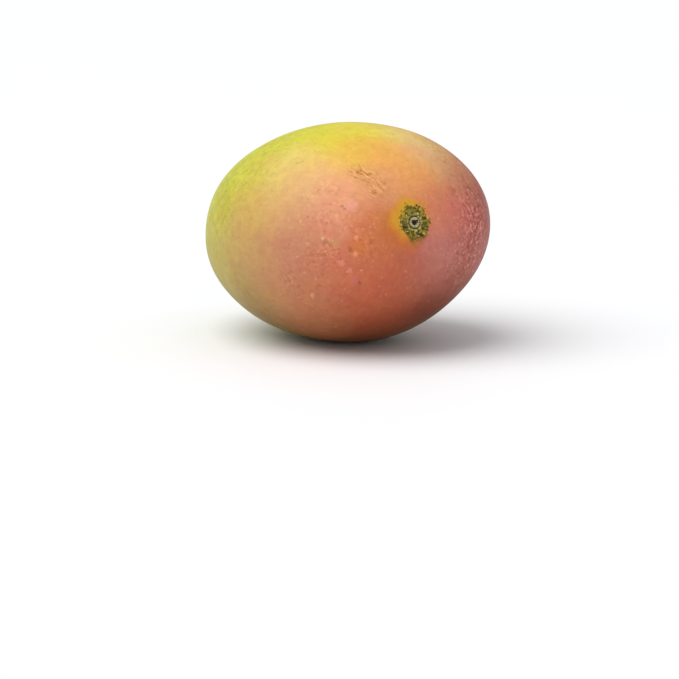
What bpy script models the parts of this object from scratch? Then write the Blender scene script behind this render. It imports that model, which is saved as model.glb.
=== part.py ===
"""A ripe mango, as picked, lying on one cheek with the dry end of its stalk still in the pit.

Metres, +Z up. +X points to the stem end. The origin is on the surface that the mango lies on, in its
small flat spot, straight below its middle of mass.

The skin is a ball whose points are stretched to the fruit's length, width and thickness, widened
towards the stem end, and raised or lowered a little by swells and hollows.
"""

import math

import bmesh
import bpy
from mathutils import Matrix, Vector

MM = 0.001

# The fruit, in its own axes: X from apex to stem end, Y across its width, Z through its cheeks.
HALF_LENGTH = 59.4 * MM
HALF_WIDTH = 49.3 * MM
HALF_THICKNESS = 40.3 * MM
WIDER_AT_STEM = 0.15
THICKER_AT_STEM = 0.115
THICKER_AT_FRONT = 0.025
CURVED_TO_FRONT = 0.5 * MM
STEM_END_SET_BACK = 1.5 * MM

# Where the stalk sat, as a direction on the ball.
SCAR = Vector((0.981, -0.146, 0.126)).normalized()

# Swells and hollows: a direction on the ball, the reach in degrees, the height.
SWELLS = (
    (Vector((0.55, 0.55, -0.63)), 26, -1.2 * MM),  # the flatter cheek low at the back
    (Vector((0.10, 0.30, -0.95)), 28, 1.2 * MM),  # the fuller cheek that it lies on
    (Vector((-0.94, -0.34, 0.00)), 11, 1.5 * MM),  # the beak beside the apex
    (Vector((-0.78, -0.62, 0.05)), 17, -1.2 * MM),  # the shallow sinus next to the beak
    (SCAR, 10, -2.0 * MM),  # the dimple round the stalk
)

RINGS = 42
RING_SPACING = 1.2
SEGMENTS = 60

# How it lies: the turn at which it balances, and how deep the flat spot cuts into its roundness.
STEM_END_RAISED = math.radians(4.76)
BACK_RAISED = math.radians(3.04)
FLAT_DEPTH = 0.6 * MM

# The stalk stub and the pit that it stands in.
PIT_RADIUS = 2.3 * MM
PIT_DEPTH = 1.6 * MM
STUB_GAP = 0.3 * MM
STUB_RADIUS = PIT_RADIUS - STUB_GAP
STUB_HEIGHT = 2.3 * MM
STUB_SIDES = 28


def clear_scene():
    for obj in list(bpy.data.objects):
        bpy.data.objects.remove(obj)


def material(name, colour, roughness):
    made = bpy.data.materials.new(name)
    made.use_nodes = True
    shader = made.node_tree.nodes["Principled BSDF"]
    shader.inputs["Base Color"].default_value = (*colour, 1)
    shader.inputs["Roughness"].default_value = roughness
    shader.inputs["Metallic"].default_value = 0
    return made


def new_object(name, bm, made_of):
    mesh = bpy.data.meshes.new(name)
    bmesh.ops.recalc_face_normals(bm, faces=bm.faces)
    bm.to_mesh(mesh)
    bm.free()
    mesh.shade_smooth()
    mesh.set_sharp_from_angle(angle=math.radians(40))
    if made_of:
        mesh.materials.append(made_of)
    obj = bpy.data.objects.new(name, mesh)
    bpy.context.scene.collection.objects.link(obj)
    return obj


def cut(obj, cutter):
    cutter.hide_render = True
    cutter.display_type = "WIRE"
    boolean = obj.modifiers.new("cut_" + cutter.name, "BOOLEAN")
    boolean.operation = "DIFFERENCE"
    boolean.object = cutter


def skin_point(ball):
    """The point of the skin for a direction on the ball, in the fruit's own axes."""
    point = Vector((
        HALF_LENGTH * ball.x,
        HALF_WIDTH * ball.y * (1 + WIDER_AT_STEM * ball.x),
        HALF_THICKNESS * ball.z * (1 + THICKER_AT_STEM * ball.x) * (1 - THICKER_AT_FRONT * ball.y),
    ))
    point.y += STEM_END_SET_BACK * ball.x - CURVED_TO_FRONT * ball.x**2
    height = 0
    for middle, reach, most in SWELLS:
        away = math.degrees(ball.angle(middle)) / reach
        height += most * math.exp(-away * away)
    return point + height * point.normalized()


def skin_normal(ball):
    """The skin's outward normal there, from two short steps to the sides."""
    side = ball.orthogonal().normalized() * 0.01
    other = ball.cross(side)
    here = skin_point(ball)
    across = (skin_point((ball + side).normalized()) - here).cross(
        skin_point((ball + other).normalized()) - here
    )
    return across.normalized()


def skin_mesh():
    """Rings of skin points round the scar, closer together near it, with a point at each end."""
    bm = bmesh.new()
    to_scar = Vector((0, 0, 1)).rotation_difference(SCAR)
    rings = []
    for ring in range(1, RINGS):
        from_scar = math.pi * (ring / RINGS) ** RING_SPACING
        points = []
        for step in range(SEGMENTS):
            turn = math.tau * step / SEGMENTS
            ball = Vector((
                math.sin(from_scar) * math.cos(turn),
                math.sin(from_scar) * math.sin(turn),
                math.cos(from_scar),
            ))
            points.append(bm.verts.new(skin_point(to_scar @ ball)))
        rings.append(points)
    stem_end = bm.verts.new(skin_point(SCAR))
    apex_end = bm.verts.new(skin_point(-SCAR))
    for step in range(SEGMENTS):
        after = (step + 1) % SEGMENTS
        bm.faces.new((stem_end, rings[0][step], rings[0][after]))
        bm.faces.new((apex_end, rings[-1][after], rings[-1][step]))
        for upper, lower in zip(rings, rings[1:]):
            bm.faces.new((upper[step], lower[step], lower[after], upper[after]))
    return bm


def middle_of_mass(bm):
    """Volume-weighted mean of the tetrahedra from the centre to each triangle."""
    volume = 0
    moment = Vector()
    for a, b, c in bm.calc_loop_triangles():
        share = a.vert.co.dot(b.vert.co.cross(c.vert.co))
        volume += share
        moment += share * (a.vert.co + b.vert.co + c.vert.co) / 4
    return moment / volume


def build_fruit():
    bm = skin_mesh()
    turn = Matrix.Rotation(-STEM_END_RAISED, 4, "Y") @ Matrix.Rotation(BACK_RAISED, 4, "X")
    lowest = min((turn @ vert.co).z for vert in bm.verts)
    middle = turn @ middle_of_mass(bm)
    place = Matrix.Translation((-middle.x, -middle.y, -lowest - FLAT_DEPTH))
    fruit = new_object("fruit", bm, material("mango_skin", (0.66, 0.26, 0.11), 0.45))
    fruit.matrix_world = place @ turn
    return fruit


def build_ground_cutter():
    """The half space below the surface, as a block wider than the fruit."""
    bm = bmesh.new()
    bmesh.ops.create_cube(bm, size=4 * HALF_LENGTH)
    block = new_object("ground_cutter", bm, None)
    block.location.z = -2 * HALF_LENGTH
    return block


def build_pit_cutter():
    bm = bmesh.new()
    bmesh.ops.create_cone(
        bm, cap_ends=True, segments=STUB_SIDES, radius1=PIT_RADIUS, radius2=PIT_RADIUS, depth=4 * PIT_DEPTH
    )
    bmesh.ops.translate(bm, verts=bm.verts, vec=(0, 0, PIT_DEPTH))
    return new_object("pit_cutter", bm, None)


def build_stub():
    """A short turned plug with a raised rim and a sunken middle, its foot a gap above the pit's floor."""
    foot = STUB_GAP - PIT_DEPTH
    top = foot + STUB_HEIGHT
    profile = (
        (0, foot),
        (0.90 * STUB_RADIUS, foot),
        (STUB_RADIUS, foot + 0.2 * STUB_HEIGHT),
        (STUB_RADIUS, foot + 0.8 * STUB_HEIGHT),
        (0.86 * STUB_RADIUS, top),
        (0.58 * STUB_RADIUS, top),
        (0.34 * STUB_RADIUS, top - 0.25 * STUB_HEIGHT),
        (0, top - 0.3 * STUB_HEIGHT),
    )
    bm = bmesh.new()
    points = [bm.verts.new((radius, 0, height)) for radius, height in profile]
    for inner, outer in zip(points, points[1:]):
        bm.edges.new((inner, outer))
    bmesh.ops.spin(
        bm, geom=bm.verts[:] + bm.edges[:], axis=(0, 0, 1), cent=(0, 0, 0), angle=math.tau, steps=STUB_SIDES
    )
    bmesh.ops.remove_doubles(bm, verts=bm.verts, dist=0.001 * MM)
    return new_object("stalk_stub", bm, material("dry_stalk", (0.20, 0.15, 0.06), 0.85))


def at_scar(fruit, obj):
    """Stands the object on the skin at the scar, its Z along the skin's normal, and ties it to the fruit."""
    upright = skin_normal(SCAR).to_track_quat("Z", "Y").to_matrix().to_4x4()
    obj.parent = fruit
    obj.matrix_local = Matrix.Translation(skin_point(SCAR)) @ upright


def main():
    clear_scene()
    fruit = build_fruit()
    pit = build_pit_cutter()
    at_scar(fruit, pit)
    at_scar(fruit, build_stub())
    cut(fruit, pit)
    cut(fruit, build_ground_cutter())


main()
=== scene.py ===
"""The looks of a ripe mango: its blushed, freckled skin and the dry stalk stub in its pit.

Metres, in the same frame as the CAD model: +X to the stem end, +Z up, the origin under the fruit.
The skin repeats part.py's shape on a finer grid and adds relief. Its colours are laid on by direction:
each patch has a direction from the middle of the fruit, in the fruit's own axes, and a reach.
"""

import math

import bpy
import numpy as np
from mathutils import Matrix, Vector, noise


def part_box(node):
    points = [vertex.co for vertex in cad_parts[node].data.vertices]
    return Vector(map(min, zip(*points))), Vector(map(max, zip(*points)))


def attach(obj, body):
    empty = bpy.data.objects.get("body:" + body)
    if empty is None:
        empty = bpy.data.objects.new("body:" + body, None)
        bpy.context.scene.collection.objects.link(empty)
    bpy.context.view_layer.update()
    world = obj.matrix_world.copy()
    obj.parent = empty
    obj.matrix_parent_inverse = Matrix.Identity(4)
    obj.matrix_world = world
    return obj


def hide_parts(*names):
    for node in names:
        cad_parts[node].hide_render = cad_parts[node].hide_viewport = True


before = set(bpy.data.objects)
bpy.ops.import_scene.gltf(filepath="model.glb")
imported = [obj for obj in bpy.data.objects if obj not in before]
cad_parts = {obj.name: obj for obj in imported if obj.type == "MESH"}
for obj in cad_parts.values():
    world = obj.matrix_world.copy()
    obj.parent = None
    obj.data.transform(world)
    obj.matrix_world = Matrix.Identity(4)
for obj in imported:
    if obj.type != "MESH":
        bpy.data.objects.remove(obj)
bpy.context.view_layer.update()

MM = 0.001

# ---------------------------------------------------------------- the shape, as in part.py

HALF_LENGTH = 59.4 * MM
HALF_WIDTH = 49.3 * MM
HALF_THICKNESS = 40.3 * MM
WIDER_AT_STEM = 0.15
THICKER_AT_STEM = 0.115
THICKER_AT_FRONT = 0.025
CURVED_TO_FRONT = 0.5 * MM
STEM_END_SET_BACK = 1.5 * MM
STEM_END_RAISED = math.radians(4.76)
BACK_RAISED = math.radians(3.04)

SCAR = Vector((0.981, -0.146, 0.126)).normalized()
BEAK = Vector((-0.94, -0.34, 0.00)).normalized()

# Swells and hollows: a direction on the ball, the reach in degrees, the height.
SWELLS = (
    (Vector((0.55, 0.55, -0.63)), 26, -1.2 * MM),  # the flatter cheek low at the back
    (Vector((0.10, 0.30, -0.95)), 28, 1.2 * MM),  # the fuller cheek that it lies on
    (BEAK, 11, 1.5 * MM),  # the beak beside the apex
    (Vector((-0.78, -0.62, 0.05)), 17, -1.2 * MM),  # the shallow sinus next to the beak
    (SCAR, 10, -2.0 * MM),  # the dimple round the stalk
)

# ---------------------------------------------------------------- the relief that only the looks have

RINGS = 272
SEGMENTS = 352
FINE_SHARE = 0.22  # how much of the ring spacing is even; the rest widens with distance from the scar
WAVE_SIZE = 24 * MM
WAVE_HEIGHT = 0.30 * MM
PIT_RADIUS = 2.35 * MM
PIT_DEPTH = 1.5 * MM
COLLAR_RADIUS = 3.1 * MM
COLLAR_HEIGHT = 0.30 * MM
CORK_RADIUS = 6.2 * MM
CORK_HEIGHT = 0.16 * MM
CORK_RIBS = 11
COLLAR_WIDTH = 0.55 * MM
FLAT_ROUNDING = 0.12 * MM

STUB_RADIUS = 2.12 * MM
STUB_FOOT = -1.3 * MM
STUB_TOP = 0.75 * MM
STUB_SIDES = 96
STUB_ROWS = 44


def skin_points(balls):
    """Skin points, in the fruit's own axes, for rows of directions on the ball."""
    x, y, z = balls.T
    points = np.stack([
        HALF_LENGTH * x,
        HALF_WIDTH * y * (1 + WIDER_AT_STEM * x) + STEM_END_SET_BACK * x - CURVED_TO_FRONT * x**2,
        HALF_THICKNESS * z * (1 + THICKER_AT_STEM * x) * (1 - THICKER_AT_FRONT * y),
    ], axis=1)
    height = np.zeros(len(balls))
    for middle, reach, most in SWELLS:
        cosine = balls @ np.array(middle.normalized())
        away = np.degrees(np.arccos(np.clip(cosine, -1, 1))) / reach
        height += most * np.exp(-away**2)
    return points + height[:, None] * points / np.linalg.norm(points, axis=1, keepdims=True)


def ball_grid():
    """Directions in rings round the scar, then the scar's own and the one opposite it."""
    share = np.arange(1, RINGS) / RINGS
    from_scar = math.pi * (FINE_SHARE * share + (1 - FINE_SHARE) * share**2)
    turn = math.tau * np.arange(SEGMENTS) / SEGMENTS
    tilt, turn = np.meshgrid(from_scar, turn, indexing="ij")
    local = np.stack([np.sin(tilt) * np.cos(turn), np.sin(tilt) * np.sin(turn), np.cos(tilt)], axis=-1)
    local = np.concatenate([local.reshape(-1, 3), [[0, 0, 1], [0, 0, -1]]])
    to_scar = np.array(Vector((0, 0, 1)).rotation_difference(SCAR).to_matrix())
    return local @ to_scar.T


def grid_faces():
    """Quads between the rings and a fan at each end, for the points of ball_grid."""
    step = np.arange(SEGMENTS)
    after = (step + 1) % SEGMENTS
    faces = []
    for ring in range(RINGS - 2):
        upper = ring * SEGMENTS
        lower = upper + SEGMENTS
        faces += np.stack([upper + step, lower + step, lower + after, upper + after], axis=1).tolist()
    stem_end = (RINGS - 1) * SEGMENTS
    last = (RINGS - 2) * SEGMENTS
    faces += [(stem_end, a, b) for a, b in zip(step.tolist(), after.tolist())]
    faces += [(stem_end + 1, last + b, last + a) for a, b in zip(step.tolist(), after.tolist())]
    return faces


def waves(points, size, seed=0.0):
    """Smooth noise between about -1 and 1 at each point."""
    offset = Vector((seed, 2 * seed, 3 * seed))
    return np.array([noise.noise(Vector(p) / size + offset) for p in points])


def smooth_step(low, high, value):
    share = np.clip((value - low) / (high - low), 0, 1)
    return share * share * (3 - 2 * share)


SCAR_POINT = Vector(skin_points(np.array([SCAR]))[0])


def scar_turn():
    """The rotation that takes Z to the skin's normal at the scar."""
    side = SCAR.orthogonal().normalized() * 0.01
    other = SCAR.cross(side)
    near = skin_points(np.array([(SCAR + side).normalized(), (SCAR + other).normalized()]))
    normal = (Vector(near[0]) - SCAR_POINT).cross(Vector(near[1]) - SCAR_POINT).normalized()
    return normal.to_track_quat("Z", "Y").to_matrix().to_4x4()


SCAR_TURN = scar_turn()


def relief(points):
    """Height to add along the outward direction: waves all over, then cork, collar and pit at the scar."""
    height = WAVE_HEIGHT * waves(points, WAVE_SIZE, 3.1)
    away = np.linalg.norm(points - np.array(SCAR_POINT), axis=1)
    near = np.flatnonzero(away < 1.6 * CORK_RADIUS)
    close = points[near]
    distance = away[near] * (1 + 0.10 * waves(close, 3 * MM, 5.0))
    local = (close - np.array(SCAR_POINT)) @ np.array(SCAR_TURN.to_3x3())
    angle = np.arctan2(local[:, 1], local[:, 0])
    cork = 1 - smooth_step(0.7 * CORK_RADIUS, 1.05 * CORK_RADIUS, distance)
    lumps = waves(close, 0.9 * MM, 1.0) + 0.6 * waves(close, 0.4 * MM, 2.0)
    ribs = np.cos(CORK_RIBS * angle + 2.5 * waves(close, 2.5 * MM, 4.0))
    ribs *= smooth_step(0.8, 2.5, distance / PIT_RADIUS)
    extra = CORK_HEIGHT * cork * (lumps + 0.4 * ribs)
    extra += COLLAR_HEIGHT * np.exp(-(((distance - COLLAR_RADIUS) / COLLAR_WIDTH) ** 2)) * (1 + 0.5 * lumps)
    extra -= PIT_DEPTH * (1 - smooth_step(0.80 * PIT_RADIUS, 1.05 * PIT_RADIUS, distance))
    height[near] += extra
    return height


def new_mesh_object(name, points, faces, made_of):
    mesh = bpy.data.meshes.new(name)
    mesh.from_pydata(points.tolist(), [], faces)
    mesh.shade_smooth()
    mesh.materials.append(made_of)
    obj = bpy.data.objects.new(name, mesh)
    bpy.context.scene.collection.objects.link(obj)
    return obj


def placing(points):
    """The matrix from the fruit's own axes to the frame, so that the skin fills the CAD fruit's box."""
    turn = Matrix.Rotation(-STEM_END_RAISED, 4, "Y") @ Matrix.Rotation(BACK_RAISED, 4, "X")
    turned = points @ np.array(turn.to_3x3()).T
    low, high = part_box("fruit")
    move = (low + high) / 2 - Vector((turned.min(axis=0) + turned.max(axis=0)) / 2)
    move.z = high.z - turned[:, 2].max()
    return Matrix.Translation(move) @ turn


def pressed_flat(points):
    """The points, in the frame, with what would be below the surface pressed up onto it."""
    heights = points[:, 2]
    points[:, 2] = (heights + np.sqrt(heights**2 + FLAT_ROUNDING**2)) / 2
    return points


def in_frame(points, place):
    return points @ np.array(place.to_3x3()).T + np.array(place.translation)


def build_skin():
    balls = ball_grid()
    smooth = skin_points(balls)
    place = placing(smooth)
    outward = smooth / np.linalg.norm(smooth, axis=1, keepdims=True)
    points = in_frame(smooth + relief(smooth)[:, None] * outward, place)
    return new_mesh_object("mango_skin", pressed_flat(points), grid_faces(), skin_material(place)), place


def build_stub(place):
    """A turned plug, ragged at its rim, with a sunken middle."""
    profile = np.array([
        (0.30, STUB_TOP - 0.75 * MM), (0.42, STUB_TOP - 0.62 * MM), (0.50, STUB_TOP - 0.25 * MM),
        (0.58, STUB_TOP - 0.03 * MM), (0.70, STUB_TOP), (0.84, STUB_TOP - 0.05 * MM),
        (0.95, STUB_TOP - 0.25 * MM), (1.0, STUB_TOP - 0.6 * MM), (0.96, STUB_TOP - 1.1 * MM),
        (0.90, STUB_FOOT + 0.1 * MM), (0.80, STUB_FOOT),
    ])
    sides = STUB_SIDES
    fine = np.linspace(0, len(profile) - 1, STUB_ROWS)
    radii = np.interp(fine, np.arange(len(profile)), profile[:, 0]) * STUB_RADIUS
    heights = np.interp(fine, np.arange(len(profile)), profile[:, 1])
    turn = math.tau * np.arange(sides) / sides
    rows = np.stack([np.outer(radii, np.cos(turn)), np.outer(radii, np.sin(turn)),
                     np.repeat(heights[:, None], sides, axis=1)], axis=-1).reshape(-1, 3)
    ragged = 0.10 * MM * waves(rows, 0.55 * MM, 7.0) + 0.05 * MM * waves(rows, 0.22 * MM, 8.0)
    rows[:, 2] += ragged * (rows[:, 2] > STUB_FOOT + 0.3 * MM)
    rows[:, :2] *= (1 + 0.05 * waves(rows, 1.1 * MM, 9.0))[:, None]
    points = np.concatenate([rows, [[0, 0, STUB_TOP - 0.85 * MM], [0, 0, STUB_FOOT]]])
    faces = []
    for row in range(len(fine) - 1):
        for side in range(sides):
            a = row * sides + side
            b = row * sides + (side + 1) % sides
            faces.append((a, a + sides, b + sides, b))
    last = (len(fine) - 1) * sides
    for side in range(sides):
        after = (side + 1) % sides
        faces.append((len(rows), side, after))
        faces.append((len(rows) + 1, last + after, last + side))
    at_scar = place @ Matrix.Translation(SCAR_POINT) @ SCAR_TURN
    return new_mesh_object("dry_stalk_stub", in_frame(points, at_scar), faces, stub_material(at_scar))


# ---------------------------------------------------------------- materials

class Nodes:
    """A short way to write a material's node tree: each call adds a node and returns its output."""

    def __init__(self, name):
        self.material = bpy.data.materials.new(name)
        self.material.use_nodes = True
        self.tree = self.material.node_tree
        self.shader = self.tree.nodes["Principled BSDF"]

    def put(self, socket, value):
        if isinstance(value, bpy.types.NodeSocket):
            self.tree.links.new(value, socket)
        else:
            socket.default_value = value

    def add(self, kind, inputs, output=0, **settings):
        node = self.tree.nodes.new(kind)
        for key, value in settings.items():
            setattr(node, key, value)
        for key, value in inputs.items():
            self.put(node.inputs[key], value)
        return node.outputs[output]

    def local_to(self, place):
        """The surface point in the axes that place sets in the frame."""
        at = self.add("ShaderNodeTexCoord", {}, "Object")
        inputs = {"Vector": at, "Location": place.translation, "Rotation": place.to_euler()}
        return self.add("ShaderNodeMapping", inputs, vector_type="TEXTURE")

    def math(self, operation, a, b=0.0):
        return self.add("ShaderNodeMath", {0: a, 1: b}, operation=operation)

    def vector(self, operation, a, b=(0, 0, 0), output=0):
        return self.add("ShaderNodeVectorMath", {0: a, 1: b}, output, operation=operation)

    def scale(self, a, factor):
        return self.add("ShaderNodeVectorMath", {0: a, "Scale": factor}, operation="SCALE")

    def distance(self, a, b):
        return self.vector("DISTANCE", a, b, "Value")

    def noise(self, at, scale, detail=2.0, rough=0.5, output="Fac"):
        inputs = {"Vector": at, "Scale": scale, "Detail": detail, "Roughness": rough}
        return self.add("ShaderNodeTexNoise", inputs, output)

    def span(self, value, low, high, to_low=0.0, to_high=1.0):
        """value from low to high, eased, onto to_low to to_high."""
        inputs = {"Value": value, "From Min": low, "From Max": high, "To Min": to_low, "To Max": to_high}
        return self.add("ShaderNodeMapRange", inputs, interpolation_type="SMOOTHSTEP")

    def mix(self, under, over, share):
        node = self.tree.nodes.new("ShaderNodeMix")
        node.data_type = "RGBA"
        self.put(node.inputs["Factor"], share)
        self.put(node.inputs["A"], under)
        self.put(node.inputs["B"], over)
        return node.outputs["Result"]

    def bump(self, height, strength, distance, under=None):
        inputs = {"Height": height, "Strength": strength, "Distance": distance}
        if under is not None:
            inputs["Normal"] = under
        return self.add("ShaderNodeBump", inputs)


def linear(red, green, blue):
    """A colour given as everyday 0 to 255 values, as the shader wants it."""
    channels = [value / 255 for value in (red, green, blue)]
    return (*[c / 12.92 if c < 0.04045 else ((c + 0.055) / 1.055) ** 2.4 for c in channels], 1)


# The ground colours of the skin: direction from the middle of the fruit, reach, colour.
GROUNDS = (
    # the crown, from the apex to the stem end
    ((-0.62, -0.65, 0.42), 0.30, (186, 194, 60)),  # lime above the apex
    ((-0.36, -0.78, 0.48), 0.22, (184, 188, 54)),  # lime band above the front flank
    ((-0.10, -0.72, 0.68), 0.22, (196, 192, 44)),  # lime band, further on
    ((-0.10, -0.50, 0.85), 0.30, (196, 196, 46)),  # yellow-green beside the crown
    ((0.28, -0.40, 0.87), 0.24, (202, 202, 46)),  # bright yellow-green on the crown
    ((0.51, -0.35, 0.78), 0.20, (216, 196, 52)),  # clear yellow
    ((0.50, -0.10, 0.86), 0.26, (222, 210, 54)),  # clear yellow, further over
    ((0.71, 0.24, 0.67), 0.24, (226, 206, 116)),  # pale grey yellow towards the back
    ((0.70, -0.30, 0.65), 0.20, (226, 178, 66)),  # golden
    ((0.82, -0.08, 0.56), 0.20, (234, 166, 80)),  # orange above the stalk
    ((0.92, -0.06, 0.38), 0.18, (234, 160, 90)),  # orange close above the stalk
    ((0.81, 0.20, 0.54), 0.16, (230, 173, 132)),  # pale salmon behind it
    ((0.84, 0.34, 0.42), 0.20, (210, 148, 102)),  # buff orange on the far shoulder
    # the front flank, from the apex to the stalk
    ((-0.22, -0.92, 0.32), 0.20, (186, 176, 46)),  # olive lime
    ((-0.30, -0.95, 0.08), 0.28, (180, 168, 62)),  # olive yellow
    ((0.10, -0.82, 0.55), 0.20, (196, 178, 66)),  # yellow, going buff
    ((0.37, -0.68, 0.63), 0.18, (218, 196, 98)),  # pale straw, partly a painted highlight where the broad sheen falls
    ((0.56, -0.60, 0.57), 0.18, (222, 182, 100)),  # pale peach
    ((0.48, -0.78, 0.40), 0.20, (210, 174, 94)),  # buff
    ((0.22, -0.93, 0.28), 0.20, (200, 166, 80)),  # buff tan
    ((0.20, -0.98, 0.04), 0.24, (188, 150, 88)),  # tan
    ((0.62, -0.73, 0.28), 0.20, (206, 150, 104)),  # rose tan
    ((0.78, -0.52, 0.34), 0.18, (230, 158, 110)),  # peach salmon
    ((0.89, -0.28, 0.36), 0.14, (222, 148, 110)),  # pink bloom by the scuff
    ((0.80, -0.57, 0.17), 0.18, (226, 146, 116)),  # salmon pink
    ((0.92, -0.37, 0.10), 0.15, (204, 118, 52)),  # burnt orange in front of the stalk
    ((0.64, -0.76, 0.06), 0.18, (192, 126, 98)),  # dull rose
    ((-0.05, -0.97, -0.22), 0.26, (182, 156, 78)),  # olive tan
    ((0.30, -0.92, -0.26), 0.24, (188, 138, 84)),  # brown tan
    ((0.52, -0.84, -0.14), 0.22, (194, 128, 98)),  # brown rose
    ((0.74, -0.66, -0.12), 0.22, (200, 116, 80)),  # terracotta
    ((0.88, -0.46, -0.12), 0.20, (206, 108, 72)),  # brick
    # round the stalk and over the shoulder behind it
    ((0.98, 0.04, 0.18), 0.16, (214, 124, 92)),  # rose
    ((0.96, 0.24, 0.12), 0.16, (220, 124, 104)),  # bright rose
    ((0.92, 0.38, -0.06), 0.12, (172, 80, 58)),  # dark red at the back of it
    ((0.86, 0.50, 0.08), 0.26, (166, 80, 68)),  # wine
    ((0.98, 0.06, -0.16), 0.20, (202, 130, 118)),  # dusty pink
    ((0.94, -0.20, -0.26), 0.20, (186, 92, 56)),  # brick red
    ((0.94, 0.18, -0.28), 0.20, (170, 80, 50)),  # dull red
    # low down and underneath, darker: partly the skin's own red-brown and olive, partly painted shade under
    # the fruit
    ((0.08, -0.88, -0.48), 0.26, (126, 90, 26)),  # olive brown, partly painted shade on the lower flank
    ((0.56, -0.74, -0.38), 0.22, (186, 112, 72)),  # brown terracotta
    ((0.83, -0.41, -0.38), 0.20, (186, 90, 58)),  # red brown
    ((0.88, 0.10, -0.46), 0.22, (106, 40, 8)),  # dark brick, partly painted shade low under the stem end
    ((0.48, -0.62, -0.62), 0.26, (154, 92, 48)),  # brown
    ((0.72, -0.25, -0.65), 0.26, (136, 58, 22)),  # dark red brown
    ((0.10, 0.20, -0.97), 0.50, (120, 88, 40)),  # olive brown under the belly
    ((-0.65, -0.45, -0.60), 0.46, (146, 140, 52)),  # dull green
    # the far side
    ((0.38, 0.84, 0.38), 0.40, (184, 84, 62)),  # red blush
    ((0.34, 0.88, -0.34), 0.38, (136, 62, 48)),  # dark blush
    ((0.10, 0.38, 0.92), 0.36, (218, 170, 66)),  # gold
    ((-0.36, 0.86, 0.30), 0.38, (198, 122, 60)),  # orange
    ((-0.72, 0.12, 0.68), 0.40, (190, 184, 62)),  # lime
    ((-0.95, 0.20, -0.10), 0.38, (156, 162, 62)),  # green round the apex
    ((-0.50, 0.70, -0.50), 0.38, (148, 108, 50)),  # olive orange
    ((0.02, 0.92, 0.36), 0.30, (194, 104, 60)),  # between the red blush and the orange
    ((0.26, 0.68, 0.70), 0.26, (206, 130, 62)),  # between the red blush and the gold
    ((-0.66, 0.66, 0.34), 0.30, (192, 148, 60)),  # between the orange and the lime
    ((-0.78, 0.56, -0.26), 0.30, (160, 136, 56)),  # between the orange and the apex green
    ((-0.10, 0.88, -0.44), 0.30, (150, 88, 50)),  # between the dark blush and the olive orange
)

SCUFFS = ((0.81, -0.36, 0.46), (0.85, -0.33, 0.41), (0.88, -0.31, 0.36))
STEM_SHOULDERS = ((0.91, 0.38, 0.14), (0.94, 0.30, -0.14))
FAR_SHOULDER = (0.55, 0.80, 0.10)
BLOBBED = (0.93, 0.36, 0.02)
OCHRE_RIM = ((0.80, 0.42, 0.44), (0.72, 0.40, 0.57))
CRACKLED = ((0.62, -0.77, -0.14), (0.84, -0.54, 0.00), (0.72, -0.64, 0.26))
LIME_SIDE = (-0.55, -0.55, 0.63)

# Single marks: direction, radius, colour, how strongly it covers the skin.
MARKS = (
    ((0.81, -0.53, 0.25), 0.6 * MM, (150, 88, 55), 0.8),  # dark scratch
    ((0.82, -0.52, 0.23), 0.6 * MM, (150, 88, 55), 0.8),
    ((0.84, -0.49, 0.25), 2.2 * MM, (238, 160, 142), 0.6),  # pink beside it
    ((0.75, -0.66, 0.06), 0.8 * MM, (242, 196, 145), 0.6),  # pale dot
    ((0.76, -0.65, 0.04), 0.9 * MM, (160, 110, 65), 0.4),
    ((0.80, -0.60, 0.03), 1.8 * MM, (196, 156, 90), 0.5),  # yellow-green patch
    ((0.87, -0.49, -0.01), 3.4 * MM, (212, 118, 52), 0.7),  # orange patch
    ((0.85, -0.53, -0.02), 0.9 * MM, (150, 66, 42), 0.55),  # nick and chips on its edge
    ((0.87, -0.49, 0.05), 0.8 * MM, (250, 168, 120), 0.7),
    ((0.86, -0.50, -0.05), 0.8 * MM, (250, 168, 120), 0.7),
    ((0.85, -0.48, -0.24), 0.8 * MM, (150, 56, 50), 0.7),  # red nick
    ((0.83, -0.51, -0.22), 1.8 * MM, (214, 112, 100), 0.5),
    ((0.81, -0.58, -0.10), 1.2 * MM, (232, 150, 124), 0.6),  # pale pink dots
    ((0.83, -0.53, -0.15), 1.0 * MM, (232, 150, 124), 0.6),
    ((0.63, -0.71, -0.32), 0.9 * MM, (236, 160, 120), 0.6),
    ((0.49, -0.63, 0.60), 0.9 * MM, (178, 148, 66), 0.5),  # olive squiggle
    ((0.47, -0.65, 0.60), 0.9 * MM, (178, 148, 66), 0.5),
    ((0.69, -0.62, 0.38), 0.8 * MM, (192, 124, 78), 0.6),  # brown freckles
    ((0.74, -0.57, 0.35), 0.8 * MM, (192, 124, 78), 0.6),
    ((0.77, -0.54, 0.33), 0.8 * MM, (192, 124, 78), 0.5),
)

# Where the colours round the stalk lie, as moves away from it.
BURNT_SIDE = Vector((-0.5, -3.6, -1.6)) * MM
GOLD_SIDE = Vector((0.0, -1.8, 1.4)) * MM
OLIVE_SIDE = Vector((0.0, 0.4, -3.4)) * MM


def ground(n, toward):
    """The ground colours mixed, each weighing less with distance from its own direction.

    Each colour is scaled and then added. One multiply-add would be shorter, but it turns every weight into
    a vector first, and Cycles then holds them all at once, runs out of stack and shows the skin black.
    """
    total = (0.0, 0.0, 0.0)
    weights = 0.0
    for middle, reach, tint in GROUNDS:
        away = n.math("DIVIDE", n.distance(toward, Vector(middle).normalized()), reach)
        weight = n.math("POWER", 1 / math.e, n.math("MULTIPLY", away, away))
        total = n.vector("ADD", total, n.scale(linear(*tint)[:3], weight))
        weights = n.math("ADD", weights, weight)
    return n.scale(total, n.math("DIVIDE", 1.0, weights))


def shifted(n, at, size, most, detail=3.0):
    """The point moved about at random by up to half of most, in waves of the given size."""
    wander = n.vector("SUBTRACT", n.noise(at, 1 / size, detail, 0.6, "Color"), (0.5, 0.5, 0.5))
    return n.vector("ADD", at, n.scale(wander, most))


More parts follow.
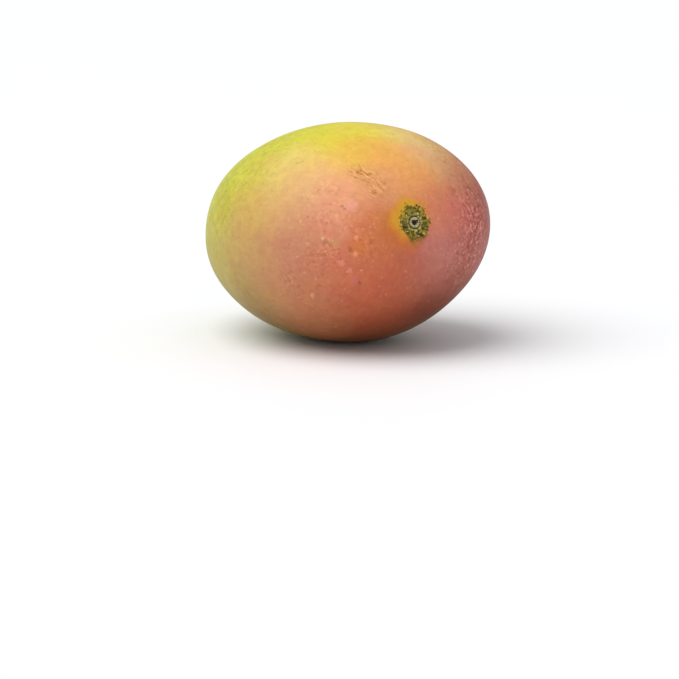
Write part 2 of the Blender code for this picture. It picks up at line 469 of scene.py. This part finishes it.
def fibres(n, toward, width, length, detail=3.0):
    """Noise drawn out along the lines that run from the stalk to the apex, on directions."""
    along = n.vector("DOT_PRODUCT", toward, SCAR, "Value")
    sideways = n.vector("SUBTRACT", toward, n.scale(SCAR, along))
    across = n.scale(n.vector("NORMALIZE", sideways), 1 / width)
    down = n.scale(SCAR, n.math("DIVIDE", n.math("ARCCOSINE", along), length))
    return n.noise(n.vector("ADD", across, down), 1.0, detail, 0.6)


def dots(n, at, spacing, radius, share, shuffle):
    """Scattered round dots: 1 inside a dot, 0 outside. share is how many places hold one."""
    moved = n.vector("ADD", at, (shuffle, shuffle, shuffle))
    inputs = {"Vector": moved, "Scale": 1 / spacing}
    away = n.add("ShaderNodeTexVoronoi", inputs, "Distance")
    luck = n.vector("DOT_PRODUCT", away.node.outputs["Color"], (1, 0, 0), "Value")
    size = n.vector("DOT_PRODUCT", away.node.outputs["Color"], (0, 1, 0), "Value")
    edge = n.span(size, 0.0, 1.0, 0.6 * radius / spacing, 1.4 * radius / spacing)
    inside = n.span(n.math("DIVIDE", away, edge), 0.5, 1.2, 1.0, 0.0)
    return n.math("MULTIPLY", inside, n.math("LESS_THAN", luck, share))


def near(n, toward, direction, inner, outer):
    """1 within inner of a direction, easing to 0 at outer."""
    away = n.distance(toward, Vector(direction).normalized())
    return n.span(away, inner, outer, 1.0, 0.0)


def near_any(n, toward, directions, inner, outer):
    closest = near(n, toward, directions[0], inner, outer)
    for direction in directions[1:]:
        closest = n.math("MAXIMUM", closest, near(n, toward, direction, inner, outer))
    return closest


def times(n, *factors):
    product = factors[0]
    for factor in factors[1:]:
        product = n.math("MULTIPLY", product, factor)
    return product


def skin_material(place):
    n = Nodes("mango_skin")
    at = n.local_to(place)
    toward = n.vector("NORMALIZE", at)
    loose = n.vector("NORMALIZE", shifted(n, at, 9 * MM, 5 * MM))
    blotchy = n.vector("NORMALIZE", shifted(n, shifted(n, at, 22 * MM, 9 * MM), 4 * MM, 6 * MM))
    colour = ground(n, blotchy)

    green_part = n.vector("DOT_PRODUCT", colour, (0, 1, 0), "Value")
    red_part = n.vector("DOT_PRODUCT", colour, (1, 0, 0), "Value")
    blush = n.span(n.math("DIVIDE", green_part, red_part), 0.30, 0.70, 1.0, 0.0)
    plain = n.math("SUBTRACT", 1.0, blush)

    colour = mottled(n, at, loose, colour, blush, plain)
    colour, raised = freckled(n, at, toward, colour, blush, plain)
    colour = scuffed(n, at, loose, colour)
    colour = marked(n, toward, colour)
    colour = scar_colours(n, at, colour)
    n.put(n.shader.inputs["Base Color"], colour)

    n.put(n.shader.inputs["Roughness"], n.span(n.noise(at, 160.0, 3.0, 0.6), 0.3, 0.7, 0.44, 0.56))
    n.shader.inputs["Specular IOR Level"].default_value = 0.30
    normal = n.bump(n.noise(at, 700.0, 3.0, 0.6), 0.5, 0.09 * MM)
    normal = n.bump(raised, 0.5, 0.05 * MM, normal)
    n.put(n.shader.inputs["Normal"], normal)
    return n.material


def mottled(n, at, loose, colour, blush, plain):
    """Cloudy patches, fibrous streaks, then a crackle on part of the blush and specks on the green."""
    rosy = n.vector("MULTIPLY", colour, (1.02, 0.88, 1.00))
    colour = n.mix(colour, rosy, n.span(n.noise(at, 110.0, 3.0, 0.6), 0.42, 0.66, 0.0, 0.6))
    golden = n.vector("MULTIPLY", colour, (1.03, 1.10, 0.80))
    colour = n.mix(colour, golden, n.span(n.noise(at, 150.0, 3.0, 0.6), 0.52, 0.70, 0.0, 0.35))
    colour = n.scale(colour, n.span(n.noise(at, 300.0, 4.0, 0.65), 0.25, 0.75, 0.94, 1.07))

    streak = fibres(n, loose, 0.035, 0.16)
    darker = n.vector("MULTIPLY", colour, (0.90, 0.80, 0.74))
    lighter = n.vector("MULTIPLY", colour, (1.07, 1.12, 1.16))
    colour = n.mix(colour, darker, n.span(streak, 0.54, 0.74, 0.0, 0.45))
    colour = n.mix(colour, lighter, n.span(streak, 0.46, 0.28, 0.0, 0.45))

    patchy = n.span(n.noise(at, 95.0, 2.0, 0.5), 0.40, 0.62)
    zone = near_any(n, loose, CRACKLED, 0.06, 0.30)
    much = n.math("MAXIMUM", times(n, zone, patchy), n.span(blush, 0.0, 1.0, 0.12, 0.26))
    crackle = n.noise(at, 760.0, 2.0, 0.7)
    darker = n.vector("MULTIPLY", colour, (0.80, 0.62, 0.56))
    lighter = n.vector("MULTIPLY", colour, (1.14, 1.30, 1.24))
    colour = n.mix(colour, darker, times(n, much, n.span(crackle, 0.50, 0.72)))
    colour = n.mix(colour, lighter, times(n, much, n.span(crackle, 0.50, 0.32)))

    olive = n.vector("MULTIPLY", colour, (0.62, 0.74, 0.40))
    straw = n.vector("MULTIPLY", colour, (1.16, 1.16, 1.60))
    green_side = times(n, plain, near(n, loose, LIME_SIDE, 0.60, 1.10))
    speckle = n.noise(at, 420.0, 4.0, 0.72)
    colour = n.mix(colour, olive, times(n, green_side, n.span(speckle, 0.54, 0.68), 0.95))
    return n.mix(colour, straw, times(n, green_side, n.span(speckle, 0.46, 0.32), 0.85))


def freckled(n, at, toward, colour, blush, plain):
    """Lenticels: pale on the blush, brown on the yellow, then nicks and chips on the crackled flank."""
    speck_at = shifted(n, at, 0.8 * MM, 0.5 * MM, 2.0)
    large = dots(n, speck_at, 2.9 * MM, 0.48 * MM, 0.28, 0.0)
    small = dots(n, speck_at, 1.6 * MM, 0.28 * MM, 0.35, 0.31)
    brown = n.vector("MULTIPLY", colour, (0.74, 0.58, 0.34))
    pale = n.mix(colour, linear(240, 190, 150), 0.45)
    colour = n.mix(colour, brown, times(n, small, plain, 0.6))
    colour = n.mix(colour, pale, times(n, small, blush, 0.35))
    colour = n.mix(colour, pale, times(n, large, blush, 0.32))

    flank = times(n, near_any(n, toward, CRACKLED, 0.08, 0.36), n.span(n.noise(at, 120.0), 0.38, 0.60))
    nicks = dots(n, speck_at, 1.8 * MM, 0.42 * MM, 0.45, 0.19)
    chips = dots(n, speck_at, 1.7 * MM, 0.38 * MM, 0.45, 0.43)
    colour = n.mix(colour, n.vector("MULTIPLY", colour, (0.82, 0.55, 0.45)), times(n, nicks, flank, 0.8))
    colour = n.mix(colour, n.mix(colour, linear(245, 190, 140), 0.55), times(n, chips, flank, 0.8))
    return shouldered(n, at, toward, colour, speck_at, large)


def shouldered(n, at, toward, colour, speck_at, large):
    """The far and stem shoulders: crowded pale dots, pink and dark red blobs, ochre specks on the rim."""
    edge = shifted(n, toward, 0.12, 0.16)
    stem_side = near_any(n, edge, STEM_SHOULDERS, 0.04, 0.34)
    shoulder = n.math("MAXIMUM", stem_side, near(n, edge, FAR_SHOULDER, 0.10, 0.86))
    crowd = times(n, dots(n, speck_at, 1.8 * MM, 0.55 * MM, 0.85, 0.57), shoulder)
    deep = n.vector("MULTIPLY", colour, (0.74, 0.46, 0.46))
    colour = n.mix(colour, deep, times(n, shoulder, n.span(n.noise(at, 520.0, 2.0, 0.6), 0.52, 0.64), 0.85))
    colour = n.mix(colour, n.mix(colour, linear(238, 165, 150), 0.60), times(n, crowd, 0.85))
    blobs = n.noise(n.vector("ADD", at, (0.5, 0.2, 0.9)), 640.0, 3.0, 0.7)
    band = n.math("MAXIMUM", near(n, edge, BLOBBED, 0.04, 0.24), n.math("MULTIPLY", stem_side, 0.3))
    colour = n.mix(colour, linear(236, 142, 134), times(n, band, n.span(blobs, 0.50, 0.61), 0.78))
    colour = n.mix(colour, linear(126, 42, 32), times(n, band, n.span(blobs, 0.46, 0.36), 0.72))

    rim = near_any(n, edge, OCHRE_RIM, 0.06, 0.24)
    ochre = n.vector("MULTIPLY", colour, (0.84, 0.66, 0.36))
    colour = n.mix(colour, ochre, times(n, rim, n.span(blobs, 0.49, 0.60), 0.80))
    return colour, n.math("ADD", large, crowd)


def scuffed(n, at, loose, colour):
    """A patch of fine brown and pale scratches that point to the stalk."""
    patch = near_any(n, loose, SCUFFS, 0.02, 0.11)
    broken = times(n, patch, n.span(n.noise(at, 480.0), 0.36, 0.54))
    line = fibres(n, loose, 0.030, 0.055)
    colour = n.mix(colour, linear(208, 138, 66), times(n, patch, 0.35))
    colour = n.mix(colour, linear(176, 100, 36), times(n, broken, n.span(line, 0.50, 0.60), 0.85))
    return n.mix(colour, linear(254, 210, 140), times(n, broken, n.span(line, 0.47, 0.38), 0.70))


def marked(n, toward, colour):
    """The single marks, each a little blot with a ragged edge."""
    ragged = n.vector("NORMALIZE", shifted(n, toward, 0.020, 0.045))
    for direction, radius, tint, cover in MARKS:
        share = near(n, ragged, direction, 0.0, 1.4 * radius / HALF_WIDTH)
        colour = n.mix(colour, linear(*tint), times(n, share, cover))
    return colour


def scar_colours(n, at, colour):
    """Orange, then gold, then rough olive cork as the skin nears the stalk, then dark in the pit: partly
    the scar's own brown, partly painted shade in the recess.
    """
    wander = n.span(n.noise(at, 260.0, 3.0, 0.6), 0.2, 0.8, -1.6 * MM, 1.6 * MM)

    def around(move, inner, outer, most):
        away = n.math("ADD", n.distance(at, SCAR_POINT + move), wander)
        return n.span(away, inner, outer, most, 0.0)

    colour = n.mix(colour, linear(205, 110, 40), around(BURNT_SIDE, 4.5 * MM, 10.5 * MM, 0.85))
    colour = n.mix(colour, linear(228, 148, 46), around(GOLD_SIDE, 5.0 * MM, 10.0 * MM, 0.75))
    colour = n.mix(colour, linear(222, 168, 34), around(GOLD_SIDE, 3.4 * MM, 8.2 * MM, 1.0))
    colour = n.mix(colour, linear(138, 98, 28), around(OLIVE_SIDE, 3.2 * MM, 6.0 * MM, 0.85))

    straight = n.distance(at, SCAR_POINT)
    fray = n.noise(at, 1000.0, 3.0, 0.65)
    away = n.math("ADD", straight, n.math("MULTIPLY", wander, 0.7))
    ragged = n.math("ADD", away, n.span(fray, 0.2, 0.8, -1.6 * MM, 1.6 * MM))
    cork = n.span(ragged, 4.8 * MM, 6.8 * MM, 1.0, 0.0)
    cork_colour = n.mix(linear(84, 74, 10), linear(160, 142, 36), n.span(fray, 0.42, 0.62))
    colour = n.mix(colour, cork_colour, cork)
    speck_at = shifted(n, at, 1.0 * MM, 1.0 * MM)
    clusters = n.span(n.noise(at, 300.0, 2.0, 0.5), 0.44, 0.55)
    black = dots(n, speck_at, 1.5 * MM, 0.62 * MM, 0.80, 0.77)
    cream = dots(n, speck_at, 1.3 * MM, 0.44 * MM, 0.60, 0.13)
    colour = n.mix(colour, linear(42, 26, 6), times(n, black, clusters, cork, 0.95))
    colour = n.mix(colour, linear(222, 206, 120), times(n, cream, cork, 0.80))
    collar = times(n, n.span(straight, 2.8 * MM, 3.3 * MM, 1.0, 0.0), n.span(fray, 0.40, 0.56))
    colour = n.mix(colour, linear(196, 184, 120), times(n, collar, 0.8))
    # Painted shade, in part: the skin in the pit round the stub is darkened over the scar's own olive
    # brown.
    return n.mix(colour, linear(70, 56, 22), n.span(straight, 2.2 * MM, 2.5 * MM, 0.8, 0.0))


def stub_material(place):
    """Weathered wood: a pale ring, brown between its fibres, round a dark sunken middle."""
    n = Nodes("dry_stalk")
    at = n.local_to(place)
    wear = n.noise(at, 1100.0, 3.0, 0.6)
    colour = n.mix(linear(92, 76, 34), linear(196, 184, 132), n.span(wear, 0.36, 0.56))
    flat = n.vector("MULTIPLY", at, (1, 1, 0))
    spokes = n.noise(n.scale(n.vector("NORMALIZE", flat), 3.2), 1.0, 3.0, 0.6)
    colour = n.mix(colour, linear(84, 66, 28), n.span(spokes, 0.52, 0.66, 0.0, 0.8))
    out = n.vector("LENGTH", flat, output="Value")
    out = n.math("ADD", out, n.span(wear, 0.2, 0.8, -0.4 * MM, 0.4 * MM))
    colour = n.mix(colour, linear(112, 94, 40), n.span(out, 1.75 * MM, 2.1 * MM, 0.0, 0.8))
    colour = n.mix(colour, linear(44, 28, 10), n.span(out, 0.95 * MM, 1.30 * MM, 1.0, 0.0))
    n.put(n.shader.inputs["Base Color"], colour)
    n.shader.inputs["Roughness"].default_value = 0.85
    n.put(n.shader.inputs["Normal"], n.bump(wear, 0.7, 0.15 * MM))
    return n.material


# ---------------------------------------------------------------- floor, light and camera

CAMERA_AZIMUTH = math.radians(54)
CAMERA_ELEVATION = math.radians(8)
CAMERA_DISTANCE = 0.9
CAMERA_LENS = 127.4
AIM_BELOW = 40.6 * MM
AIM_LEFT = 1.2 * MM
KEY_STRENGTH = 2.15
KEY_WIDTH = 60  # degrees across, so that its shadows are soft
SURROUNDINGS_STRENGTH = 0.55
FLOOR_HALF = 12
MIDDLE = Vector((0, 0, 40.4 * MM))


def camera_axes():
    """Right, up and back of the main view."""
    a, e = CAMERA_AZIMUTH, CAMERA_ELEVATION
    back = Vector((math.sin(a) * math.cos(e), -math.cos(a) * math.cos(e), math.sin(e)))
    right = Vector((math.cos(a), math.sin(a), 0))
    return right, back.cross(right), back


def build_camera():
    right, up, back = camera_axes()
    camera = bpy.data.objects.new("camera", bpy.data.cameras.new("camera"))
    bpy.context.scene.collection.objects.link(camera)
    camera.data.lens = CAMERA_LENS
    camera.location = MIDDLE + back * CAMERA_DISTANCE
    aim = MIDDLE - up * AIM_BELOW - right * AIM_LEFT
    camera.rotation_euler = (camera.location - aim).to_track_quat("Z", "Y").to_euler()
    camera.data.clip_start = 0.01
    bpy.context.scene.camera = camera


def build_floor():
    n = Nodes("floor")
    n.shader.inputs["Base Color"].default_value = (0.95, 0.95, 0.95, 1)
    n.shader.inputs["Roughness"].default_value = 0.6
    corners = FLOOR_HALF * np.array([(-1, -1, 0), (1, -1, 0), (1, 1, 0), (-1, 1, 0)], float)
    floor = new_mesh_object("floor", corners, [(0, 1, 2, 3)], n.material)


def build_sun(name, toward, strength, width):
    light = bpy.data.lights.new(name, "SUN")
    light.energy = strength
    light.angle = math.radians(width)
    obj = bpy.data.objects.new(name, light)
    obj.rotation_euler = toward.to_track_quat("Z", "Y").to_euler()
    bpy.context.scene.collection.objects.link(obj)


def build_world():
    """Pale surroundings, shown pure white behind the object."""
    world = bpy.data.worlds.new("studio")
    world.use_nodes = True
    tree = world.node_tree
    lit = tree.nodes["Background"]
    lit.inputs["Color"].default_value = (0.95, 0.97, 1.0, 1)
    lit.inputs["Strength"].default_value = SURROUNDINGS_STRENGTH
    shown = tree.nodes.new("ShaderNodeBackground")
    shown.inputs["Color"].default_value = (1, 1, 1, 1)
    ray = tree.nodes.new("ShaderNodeLightPath")
    mixed = tree.nodes.new("ShaderNodeMixShader")
    tree.links.new(ray.outputs["Is Camera Ray"], mixed.inputs["Fac"])
    tree.links.new(lit.outputs["Background"], mixed.inputs[1])
    tree.links.new(shown.outputs["Background"], mixed.inputs[2])
    tree.links.new(mixed.outputs["Shader"], tree.nodes["World Output"].inputs["Surface"])
    bpy.context.scene.world = world


def build_stage():
    right, up, back = camera_axes()
    build_floor()
    build_world()
    build_sun("key", -0.45 * right + 0.85 * up + 0.30 * back, KEY_STRENGTH, KEY_WIDTH)
    bpy.context.scene.view_settings.view_transform = "Standard"


build_camera()
build_stage()
skin, fruit_place = build_skin()
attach(skin, "root")
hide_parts("fruit")
stub = build_stub(fruit_place)
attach(stub, "root")
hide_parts("stalk_stub")
